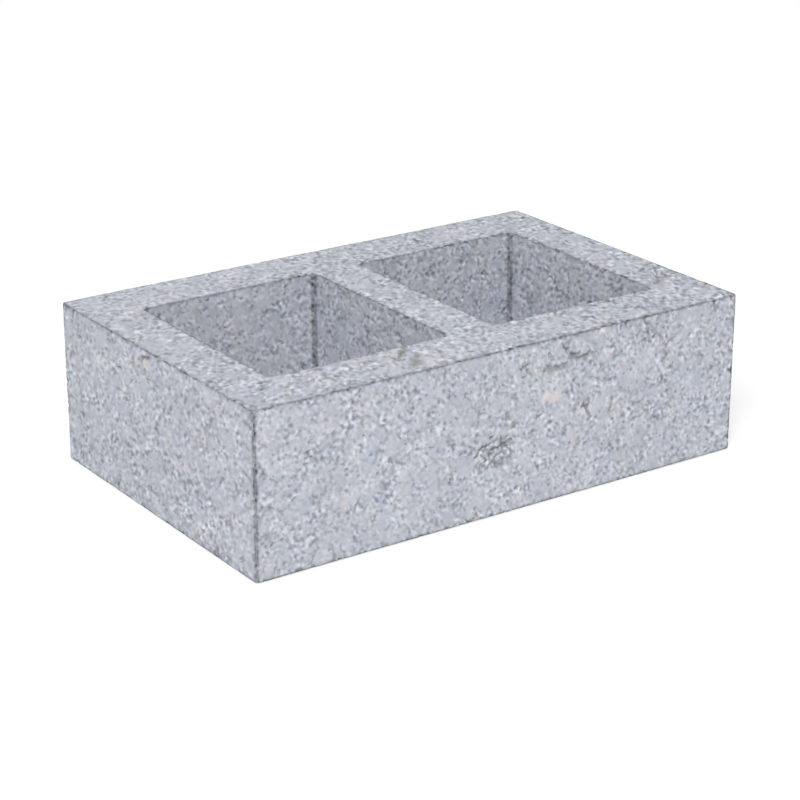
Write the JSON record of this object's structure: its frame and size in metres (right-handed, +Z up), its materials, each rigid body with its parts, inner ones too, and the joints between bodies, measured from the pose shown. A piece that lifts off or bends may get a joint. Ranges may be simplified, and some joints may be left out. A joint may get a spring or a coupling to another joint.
{
  "type": "hollow concrete block",
  "caption": "Low hollow concrete block with flat ends and a pair of square-cornered tapered cells running through from bed to bed.",
  "frame": {"origin": "centre of the bottom bed face, under the middle of the centre web", "axes": "+X along the block's length, +Y from the front face shell to the back one, +Z up from the bottom bed face to the top one, where the walls are thickest"},
  "size_m": [0.39, 0.25, 0.115],
  "materials": {
    "concrete": "as-moulded light blue-grey concrete, matt and open-textured, with fine dark pits, pale grains and a few buff stones"
  },
  "bodies": {
    "root": {"block": "concrete"}
  },
  "joints": []
}
